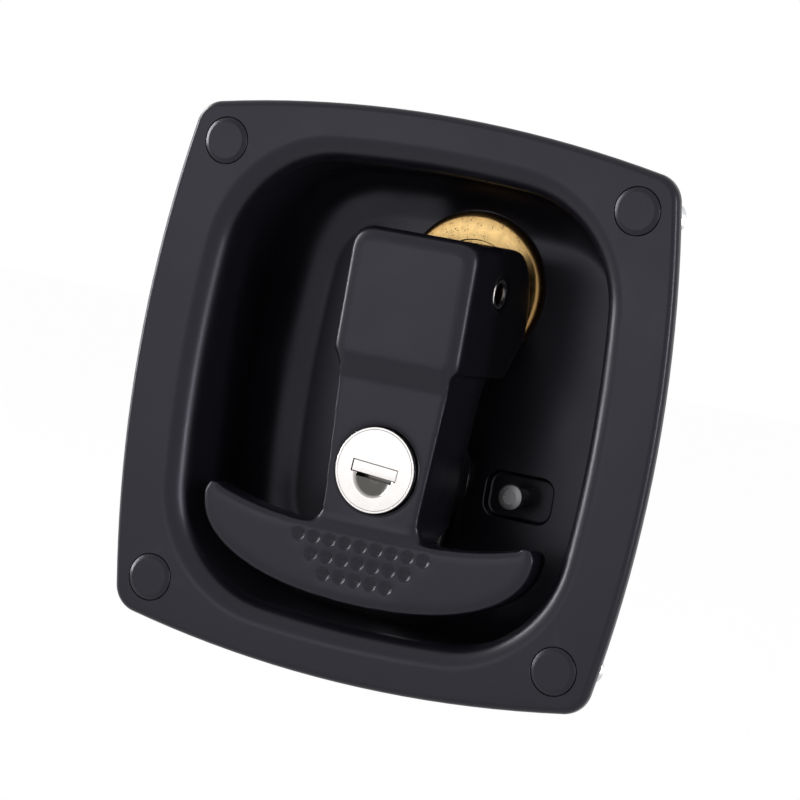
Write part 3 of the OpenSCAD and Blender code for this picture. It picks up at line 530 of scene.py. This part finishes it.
blackCoat = blackCoatFinish("blackCoat", coatLook)
zincPlate = metalFinish("zincPlate", zincLook, (0, shaftUp))
rawSteel = metalFinish("rawSteel", rawLook, keeperAt)
springSteel = metalFinish("springSteel", springLook, (0, shaftUp))
turnedBrass = metalFinish("turnedBrass", brassLook, (0, shaftUp))
stampedBrass = metalFinish("stampedBrass", waferLook, (0, lockUp))
pinSteel = metalFinish("pinSteel", pinLook, (0, pinUp), crossDepth=pinDepth)
brightNickel = metalFinish("brightNickel", nickelLook, (0, lockUp))
# lock plug nickel, with painted shade behind its face
plugNickel = metalFinish("plugNickel", nickelLook, (0, lockUp), depthSpan("lock_plug")[0])
print("finishes ready")


# the pan; a step at an end is (inset, how far before the end)
panSize = {"flangeHalf": 63.5, "flangeBow": 295, "flangeCorner": 6.5, "edge": 1.5, "wall": 3,
           "rearSteps": ((0, 0.5), (0.15, 0.15), (0.5, 0)), "openW": 52.8, "openH": 56.5, "openBow": 290,
           "openCorner": 31, "roll": 5.5, "floor": 37, "fillet": 11, "steps": 20, "bends": 12,
           "edgeBends": 6, "lap": 1, "shade": 32}
hubSize = {"radius": 17, "back": 52, "foot": 2, "footBend": 1.6, "edgeBend": 0.6, "bore": 11.55,
           "spotFace": 17.9, "spotDeep": 0.15, "openFront": 6, "openBack": 3}
ribSize = {"thick": 3, "reach": 29, "depth": 6, "corner": 0.9, "endSteps": ((0, 1), (0.25, 0.3), (0.7, 0))}
pocketSize = {"x": keeperAt[0], "up": keeperAt[1], "width": 16.3, "height": 10.2, "corner": 3, "depth": 2.2,
              "lip": 0.5, "lipSteps": ((0.8, 0.02), (0.36, 0.23), (0, 1)),
              "endSteps": ((0, 0.8), (0.25, 0.25), (0.8, 0))}
studSize = {"pitch": 100, "head": 5.2, "headBack": 1.1, "proud": 0.5, "slope": 1.0, "faceBend": 0.8,
            "edgeBend": 0.3, "radius": 4, "threadPitch": 1.25, "shankFront": 1.0, "steps": 64, "shade": 50,
            "groove": 0.12, "seatOpen": 2, "seatFlare": 2.1, "seatFront": 0.1, "seatBack": 0.9}
studHalf = studSize["pitch"] / 2
studPlaces = [(x, up, 0) for x in (-studHalf, studHalf) for up in (-studHalf, studHalf)]


def bowedOutline(halfW, halfH, bow, corner, grow, steps):
    p, q, d = bow - halfW, bow - halfH, bow - corner
    k, m = q / p, (q * q - p * p) / (2 * p)
    h, n = k * m + q, k * k + 1
    cornerUp = (math.sqrt(h * h - n * (m * m + q * q - d * d)) - h) / n
    cornerX = k * cornerUp + m
    s = math.atan2(cornerUp, cornerX + p)
    t = math.pi / 2 - math.atan2(cornerX, cornerUp + q)
    half = math.pi
    arcs = [((-p, 0), bow, -s, s), ((cornerX, cornerUp), corner, s, t),
            ((0, -q), bow, t, half - t), ((-cornerX, cornerUp), corner, half - t, half - s),
            ((p, 0), bow, half - s, half + s), ((-cornerX, -cornerUp), corner, half + s, half + t),
            ((0, q), bow, half + t, 2 * half - t), ((cornerX, -cornerUp), corner, 2 * half - t, 2 * half - s)]
    outline = []
    for (x, up), radius, start, stop in arcs:
        for i in range(steps):
            angle = start + (stop - start) * i / steps
            outline.append((x + (radius + grow) * math.cos(angle), up + (radius + grow) * math.sin(angle)))
    return outline


def sweep(start, stop, count):
    return [math.radians(start + (stop - start) * i / count) for i in range(count + 1)]


def panLayers(size):
    def recess(grow):
        return bowedOutline(size["openW"], size["openH"], size["openBow"], size["openCorner"],
                            grow, size["steps"])

    def flange(grow):
        return bowedOutline(size["flangeHalf"], size["flangeHalf"], size["flangeBow"], size["flangeCorner"],
                            grow, size["steps"])

    def floorRing(radius, t):
        grow = radius * math.cos(t) - size["roll"] - size["fillet"]
        return recess(grow), size["floor"] - size["fillet"] + radius * math.sin(t)

    def rollRing(t):
        return recess(-size["roll"] * math.sin(t)), size["roll"] * (1 - math.cos(t))

    def edgeRing(t):
        return flange(size["edge"] * (math.sin(t) - 1)), size["edge"] * (1 - math.cos(t))

    wall, bends = size["wall"], size["bends"]
    layers = [floorRing(size["fillet"], t) for t in sweep(90, 0, bends)]
    layers += [rollRing(t) for t in sweep(90, 0, bends)]
    layers += [edgeRing(t) for t in sweep(0, 90, size["edgeBends"])]
    layers += [(flange(-inset), wall - short) for inset, short in size["rearSteps"]]
    layers += [(recess(wall - size["roll"]), wall)]
    layers += [floorRing(size["fillet"] + wall, t) for t in sweep(0, 90, bends)]
    return layers


# hub with its three ribs, and the pad behind the pocket
def addRear(pan, back):
    lap = panSize["lap"]
    foot = hubSize["radius"] + hubSize["foot"]
    hub = turnPiece("hub", [(0, back - lap, 0), (foot, back - lap, 0), (foot, back, 0),
                            (hubSize["radius"], back + hubSize["foot"], hubSize["footBend"]),
                            (hubSize["radius"], hubSize["back"], hubSize["edgeBend"]),
                            (0, hubSize["back"], 0)], 0, shaftUp)
    combine(pan, hub, "UNION")

    length = ribSize["reach"] - hubSize["radius"] + lap
    ribBack = back + ribSize["depth"]
    ribSpots = [(0, back - lap)] + [(inset, ribBack - short) for inset, short in ribSize["endSteps"]]
    for turn in (0, math.pi, -math.pi / 2):
        along = Vector((math.cos(turn), math.sin(turn)))
        middle = (hubSize["radius"] - lap + ribSize["reach"]) / 2 * along
        width = abs(along.x) * length + abs(along.y) * ribSize["thick"]
        height = abs(along.y) * length + abs(along.x) * ribSize["thick"]
        rib = [(roundBox(width - 2 * inset, height - 2 * inset, ribSize["corner"] - inset,
                         middle.x, shaftUp + middle.y), depth) for inset, depth in ribSpots]
        combine(pan, stackPiece("rib", rib), "UNION")

    pocket = pocketSize
    wide, tall = pocket["width"] + 2 * panSize["wall"], pocket["height"] + 2 * panSize["wall"]
    padBack = back + pocket["depth"]
    padSpots = [(0, back - lap)] + [(inset, padBack - short) for inset, short in pocket["endSteps"]]
    pad = [(roundBox(wide - 2 * inset, tall - 2 * inset, pocket["corner"], pocket["x"], pocket["up"]), depth)
           for inset, depth in padSpots]
    combine(pan, stackPiece("pad", pad), "UNION")


# stepped bore, keeper pocket with its lip, and the four stud seats
def cutOpenings(pan, floor):
    lap = panSize["lap"]
    boreFront, boreBack = floor - hubSize["openFront"], hubSize["back"] + hubSize["openBack"]
    spotBack = floor + hubSize["spotDeep"]
    bore = turnPiece("bore", [(0, boreFront, 0), (hubSize["spotFace"], boreFront, 0),
                              (hubSize["spotFace"], spotBack, 0), (hubSize["bore"], spotBack, 0),
                              (hubSize["bore"], boreBack, 0), (0, boreBack, 0)], 0, shaftUp)
    combine(pan, bore, "DIFFERENCE")

    pocket = pocketSize
    lip, deep = pocket["lip"], floor + pocket["depth"]
    spots = [(lip + lap, floor - lap)] + [(out * lip, floor + low * lip) for out, low in pocket["lipSteps"]]
    spots += [(-inset, deep - short) for inset, short in pocket["endSteps"]]
    hollow = [(roundBox(pocket["width"] + 2 * grow, pocket["height"] + 2 * grow, pocket["corner"] + grow,
                        pocket["x"], pocket["up"]), depth) for grow, depth in spots]
    combine(pan, stackPiece("hollow", hollow), "DIFFERENCE")

    size = studSize
    seatR = size["head"] + size["groove"]
    seat = turnPiece("seat", [(0, -size["seatOpen"], 0), (seatR + size["seatFlare"], -size["seatOpen"], 0),
                              (seatR, size["seatFront"], 0), (seatR, size["seatBack"], 0),
                              (0, size["seatBack"], 0)], steps=size["steps"])
    for cutter in repeatAt(seat, studPlaces):
        combine(pan, cutter, "DIFFERENCE")


def buildPan():
    pan = stackPiece("panShell", panLayers(panSize))
    addRear(pan, panSize["floor"] + panSize["wall"])
    cutOpenings(pan, panSize["floor"])
    smoothShade(pan, panSize["shade"])
    dress(pan, blackCoat, "pan")


buildPan()
print("pan built")


# flush stud heads, painted with the pan, and plated threaded shanks
def buildStuds(size):
    back = depthSpan("mounting_studs")[1]
    head = turnPiece("studHead", [(0, -size["proud"], 0),
                                  (size["head"] - size["slope"], -size["proud"], size["faceBend"]),
                                  (size["head"], 0, size["edgeBend"]), (size["head"], size["headBack"], 0),
                                  (0, size["headBack"], 0)], steps=size["steps"])
    heads = joinAll(repeatAt(head, studPlaces), "studHeads")
    smoothShade(heads)
    dress(heads, blackCoat, "mounting_studs", stands=False, slot="black_coat")
    shank = threadPiece("studShank", size["radius"], size["threadPitch"], size["shankFront"], back, 0, 0)
    shanks = joinAll(repeatAt(shank, studPlaces), "studShanks")
    smoothShade(shanks, size["shade"])
    dress(shanks, zincPlate, "mounting_studs")


buildStuds(studSize)
print("studs built")


# cast handle: the solid is remeshed, its edges and corners run smooth, and the dimples are pressed in again
handleLook = {"voxel": 0.45, "passes": 13, "corner": 126, "extra": 32,
              "headLow": 5, "headHigh": 33.8, "headSide": 12.3, "barHigh": -26, "rimDepth": 4.5, "heelClear": 3,
              "barFront": 0.3, "barSkin": 1, "faceTurn": -0.6, "dimpleR": 1.55, "dimpleDepth": 0.62,
              "dimpleRoom": 0.5, "dimplePitch": 3.85, "dimpleUp": -33, "rows": (9, 7, 5)}


def dimplePlaces(look):
    pitch = look["dimplePitch"]
    return [((i - (count - 1) / 2) * pitch, look["dimpleUp"] - row * pitch)
            for row, count in enumerate(look["rows"]) for i in range(count)]


def selectWhere(obj, test):
    openEdit(obj)
    bpy.ops.mesh.select_all(action="DESELECT")
    closeEdit()
    for vertex in obj.data.vertices:
        vertex.select = test(vertex)
    bpy.ops.object.mode_set(mode="EDIT")


def roundHandle(handle, look):
    headLow, headHigh, barHigh = (at(0, look[key], 0).z for key in ("headLow", "headHigh", "barHigh"))
    headSide = at(look["headSide"], 0, 0).x
    rimBack, heelFront = at(0, 0, look["rimDepth"]).y, at(0, 0, pinDepth - look["heelClear"]).y

    def topCorner(vertex):
        x, y, z = vertex.co
        return y < heelFront and z > headHigh and abs(x) > headSide

    def frontRim(vertex):
        x, y, z = vertex.co
        return y < rimBack and (z < barHigh or z > headHigh or (z > headLow and abs(x) > headSide))

    for test, repeat in ((topCorner, look["corner"]), (frontRim, look["extra"])):
        selectWhere(handle, test)
        bpy.ops.mesh.vertices_smooth(factor=0.5, repeat=repeat)
        closeEdit()


def pressDimples(handle, look):
    places = dimplePlaces(look)
    skin, room = at(0, 0, look["barFront"] + look["barSkin"]).y, look["dimpleR"] + look["dimpleRoom"]

    def nearest(vertex):
        return min(math.hypot(vertex.co.x * 1000 - x, vertex.co.z * 1000 - up) for x, up in places)

    def dimpled(vertex):
        return vertex.co.y < skin and vertex.normal.y < look["faceTurn"] and nearest(vertex) < room

    selectWhere(handle, dimpled)
    bpy.ops.mesh.subdivide(number_cuts=1)
    closeEdit()
    for vertex in [vertex for vertex in handle.data.vertices if dimpled(vertex)]:
        sink = max(0, 1 - (nearest(vertex) / look["dimpleR"]) ** 2) * look["dimpleDepth"]
        vertex.co.y += sink / 1000


def buildHandle(look):
    handle = cadTwin("t_handle", "handleCasting", shade=False)
    handle.data.remesh_voxel_size = look["voxel"] / 1000
    pick(handle)
    bpy.ops.object.voxel_remesh()
    openEdit(handle)
    bpy.ops.mesh.vertices_smooth(factor=0.5, repeat=look["passes"])
    closeEdit()
    roundHandle(handle, look)
    pressDimples(handle, look)
    pick(handle)
    bpy.ops.object.shade_smooth()
    dress(handle, blackCoat, "t_handle")
    print("handle faces", len(handle.data.polygons))


buildHandle(handleLook)
print("handle built")


# pivot pin with hollow ends: (radius, in from the end, rounding)
pivotSize = {"proud": 0.2, "steps": 48, "end": ((0, 3, 0), (2.1, 2.6, 0.3), (2.4, 0.4, 0.2), (2.8, 0, 0.15),
                                                (3.3, 0, 0.15), (3.5, 0.3, 0))}
# keeper pin with a domed head, riveted behind: each end from its own face
keeperSize = {"front": ((0, 0, 0), (1.6, 0.02, 0.6), (2.9, 0.25, 0.4),
                        (3.1, 0.9, 0.3), (3.1, 1.4, 0.1), (2, 1.4, 0)),
              "back": ((2, 1.3, 0), (3.1, 1.3, 0.1), (3.0, 0.3, 0.4), (0, 0, 0)), "steps": 64}


def buildPivot(size):
    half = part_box("pivot_pin")[1][0] * 1000 + size["proud"]
    profile = [(radius, inward - half, bend) for radius, inward, bend in size["end"]]
    profile += [(radius, -x, bend) for radius, x, bend in reversed(profile)]
    path = roundPath(profile)

    def place(row, column):
        angle = math.tau * column / size["steps"]
        radius, x = path[row]
        return at(x, pinUp + radius * math.cos(angle), pinDepth + radius * math.sin(angle))

    pin = wrapGrid("pivotPin", len(path) - 1, size["steps"], place, caps=False)
    smoothShade(pin)
    dress(pin, pinSteel, "pivot_pin")


def buildKeeper(size):
    front, back = depthSpan("keeper_pin")
    profile = [(radius, front + inward, bend) for radius, inward, bend in size["front"]]
    profile += [(radius, back - inward, bend) for radius, inward, bend in size["back"]]
    keeper = turnPiece("keeperPin", profile, pocketSize["x"], pocketSize["up"], size["steps"])
    smoothShade(keeper)
    dress(keeper, rawSteel, "keeper_pin")


buildPivot(pivotSize)
buildKeeper(keeperSize)
print("pins built")


# coil with ground ends, stretched between the barrel and the cup
springSize = {"wire": 1.0, "turns": 4.5, "mean": 9.775, "perTurn": 40, "around": 14, "shade": 50}


def buildSpring(size):
    front, back = depthSpan("return_spring")
    rows = int(size["turns"] * size["perTurn"])
    first, last = front + size["wire"], back - size["wire"]

    def place(row, column):
        angle = math.tau * row / size["perTurn"]
        around = math.tau * column / size["around"]
        radius = size["mean"] + size["wire"] * math.cos(around)
        depth = first + (last - first) * row / rows + size["wire"] * math.sin(around)
        return at(radius * math.cos(angle), shaftUp + radius * math.sin(angle), min(max(depth, front), back))

    spring = wrapGrid("returnSpring", rows, size["around"], place)
    smoothShade(spring, size["shade"])
    dress(spring, springSteel, "return_spring", rides=False)
    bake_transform(spring)


buildSpring(springSize)
print("spring built")


# shaft: plain front part from the solid, threaded tail with its flats
shaftSize = {"thread": 7, "pitch": 2, "flats": 11, "cut": 1, "lap": 0.5, "edge": 0.25,
             "columns": 64, "shade": 50}
nutSize = {"flats": 21, "thick": 6.5, "bore": 7.05, "face": 0.4, "over": 0.2, "dome": 1.3,
           "flare": 2.6, "lead": 0.6, "past": 2, "edge": 0.15, "shade": 30}


def buildShaft(size):
    tailFront = depthSpan("return_spring")[1] - size["cut"]
    tailBack = depthSpan("draw_shaft")[1]
    shaft = cadTwin("draw_shaft", "drawShaft", shade=False)
    openEdit(shaft)
    bpy.ops.mesh.bisect(plane_co=at(0, 0, tailFront), plane_no=(0, 1, 0), use_fill=True, clear_outer=True)
    closeEdit()
    softenEdges(shaft, size["edge"])
    smoothShade(shaft)
    tail = threadPiece("shaftTail", size["thread"], size["pitch"], tailFront - size["lap"], tailBack,
                       0, shaftUp, size["flats"], size["columns"])
    smoothShade(tail, size["shade"])
    shaft = joinAll([shaft, tail], "drawShaft")
    dress(shaft, zincPlate, "draw_shaft")


def buildNuts(size):
    front, last = depthSpan("cam_nuts")
    back = front + size["thick"]
    corner = size["flats"] / math.sqrt(3)
    quarter = math.pi / 2
    bpy.ops.object.select_all(action="DESELECT")
    bpy.ops.mesh.primitive_cylinder_add(vertices=6, radius=corner / 1000, depth=size["thick"] / 1000)
    nut = bpy.context.object
    middle = Matrix.Translation(at(0, shaftUp, (front + back) / 2))
    nut.data.transform(middle @ Matrix.Rotation(quarter, 4, "X") @ Matrix.Rotation(quarter, 4, "Z"))
    face, wide, past = size["flats"] / 2 - size["face"], corner + size["over"], size["past"]
    dome = turnPiece("dome", [(0, front, 0), (face, front, 0), (wide, front + size["dome"], 0),
                              (wide, back - size["dome"], 0), (face, back, 0), (0, back, 0)], 0, shaftUp)
    combine(nut, dome, "INTERSECT")
    bore, flare = size["bore"], size["bore"] + size["flare"]
    hole = turnPiece("hole", [(0, front - past, 0), (flare, front - past, 0), (bore, front + size["lead"], 0),
                              (bore, back - size["lead"], 0), (flare, back + past, 0), (0, back + past, 0)],
                     0, shaftUp)
    combine(nut, hole, "DIFFERENCE")
    nuts = joinAll(repeatAt(nut, [(0, 0, 0), (0, 0, last - back)]), "camNuts")
    softenEdges(nuts, size["edge"])
    cleanMesh(nuts)
    smoothShade(nuts, size["shade"])
    dress(nuts, zincPlate, "cam_nuts")


buildShaft(shaftSize)
buildNuts(nutSize)
print("shaft and nuts built")


# the rest keep their solids, with broken edges: node, piece, finish, edge
copies = [
    ("thrust_bush", "thrustBush", turnedBrass, 0.12),
    ("stop_washer", "stopWasher", zincPlate, 0.15),
    ("bush_circlip", "bushRing", springSteel, 0.1),
    ("stop_plate", "stopPlate", zincPlate, 0.15),
    ("stop_screws", "stopScrews", zincPlate, 0.08),
    ("spring_cup", "springCup", zincPlate, 0.25),
    ("latch_cam", "latchCam", zincPlate, 0.6),
    ("cam_washer", "camWasher", zincPlate, 0.2),
    ("lock_barrel", "lockBarrel", brightNickel, 0.1),
    ("barrel_clip", "barrelClip", springSteel, 0.1),
    ("lock_plug", "lockPlug", plugNickel, 0.12),
    ("wafer_tumblers", "waferTumblers", stampedBrass, 0.08),
    ("tail_cam", "tailCam", zincPlate, 0.2),
    ("tail_screw", "tailScrew", zincPlate, 0.15),
    ("shutter_pin", "shutterPin", rawSteel, 0.05),
    ("slot_shutter", "slotShutter", brightNickel, 0.1),
]
for node, name, finish, width in copies:
    dress(cadTwin(node, name, width), finish, node)
print("other pieces dressed")


# floor, light and camera
stageLook = {"drop": 0.04, "size": 6.0, "white": 1.0, "ambient": 0.55, "floorTone": 0.92, "floorRough": 0.9,
             "floorWhite": 0.97}


def seenDirectly(tree):
    rays = addNode(tree, "ShaderNodeLightPath")
    seen = calc(tree, "MAXIMUM", rays.outputs["Is Camera Ray"], rays.outputs["Is Glossy Ray"])
    return calc(tree, "MAXIMUM", seen, rays.outputs["Is Transmission Ray"])


def buildStage(look):
    bpy.ops.object.select_all(action="DESELECT")
    bpy.ops.mesh.primitive_plane_add(size=look["size"], location=(0, 0, cadBox[0][2] - look["drop"]))
    floor = bpy.context.object
    floor.name = "paleFloor"
    material = bpy.data.materials.new("paleFloor")
    material.use_nodes = True
    tree = material.node_tree
    tree.nodes["Principled BSDF"].inputs["Base Color"].default_value = (look["floorTone"],) * 3 + (1,)
    tree.nodes["Principled BSDF"].inputs["Roughness"].default_value = look["floorRough"]
    glow = addNode(tree, "ShaderNodeEmission", Strength=look["white"])
    mix = addNode(tree, "ShaderNodeMixShader")
    tree.links.new(calc(tree, "MULTIPLY", seenDirectly(tree), look["floorWhite"]), mix.inputs[0])
    tree.links.new(tree.nodes["Principled BSDF"].outputs[0], mix.inputs[1])
    tree.links.new(glow.outputs[0], mix.inputs[2])
    tree.links.new(mix.outputs[0], tree.nodes["Material Output"].inputs["Surface"])
    floor.data.materials.append(material)

    world = bpy.data.worlds.new("whiteRoom")
    bpy.context.scene.world = world
    world.use_nodes = True
    tree = world.node_tree
    plain = tree.nodes["Background"]
    plain.inputs["Color"].default_value = (1, 1, 1, 1)
    plain.inputs["Strength"].default_value = look["ambient"]
    white = addNode(tree, "ShaderNodeBackground", Strength=look["white"])
    white.inputs["Color"].default_value = (1, 1, 1, 1)
    mix = addNode(tree, "ShaderNodeMixShader")
    tree.links.new(seenDirectly(tree), mix.inputs[0])
    tree.links.new(plain.outputs[0], mix.inputs[1])
    tree.links.new(white.outputs[0], mix.inputs[2])
    tree.links.new(mix.outputs[0], tree.nodes["World Output"].inputs["Surface"])


def addLamp(name, place, size, power):
    lamp = bpy.data.lights.new(name, "AREA")
    lamp.shape = "RECTANGLE"
    lamp.size, lamp.size_y = size
    lamp.energy = power
    obj = bpy.data.objects.new(name, lamp)
    bpy.context.collection.objects.link(obj)
    obj.location = place
    obj.rotation_euler = (-Vector(place)).to_track_quat("-Z", "Y").to_euler()    # aimed at the origin


cameraLook = {"place": (0.3083, -0.6815, 0.0386), "right": (0.894032, 0.411741, 0.176598),
              "up": (-0.181907, -0.026620, 0.982956), "back": (0.409425, -0.910919, 0.051099),
              "lens": 153.13, "sensor": 36}


def buildCamera(look):
    camera = bpy.data.cameras.new("camera")
    camera.lens = look["lens"]
    camera.sensor_width = look["sensor"]
    obj = bpy.data.objects.new("camera", camera)
    bpy.context.collection.objects.link(obj)
    turn = Matrix((look["right"], look["up"], look["back"])).transposed()
    obj.matrix_world = Matrix.Translation(look["place"]) @ turn.to_4x4()
    bpy.context.scene.camera = obj


# place, size and power of each lamp
lampLook = {"frontSoftbox": ((-0.53, -1.18, -0.06), (0.55, 0.55), 1.4),
            "leftStrip": ((-1.1, -0.1, 0.15), (0.26, 0.9), 12),
            "rightStrip": ((1.0, -0.42, 0.05), (0.1, 0.9), 7),
            "rearLeft": ((-1.05, 0.33, 0.5), (0.3, 0.3), 4)}

buildStage(stageLook)
for name, (place, size, power) in lampLook.items():
    addLamp(name, place, size, power)
buildCamera(cameraLook)
bpy.context.scene.view_settings.view_transform = "Standard"
print("stage ready")
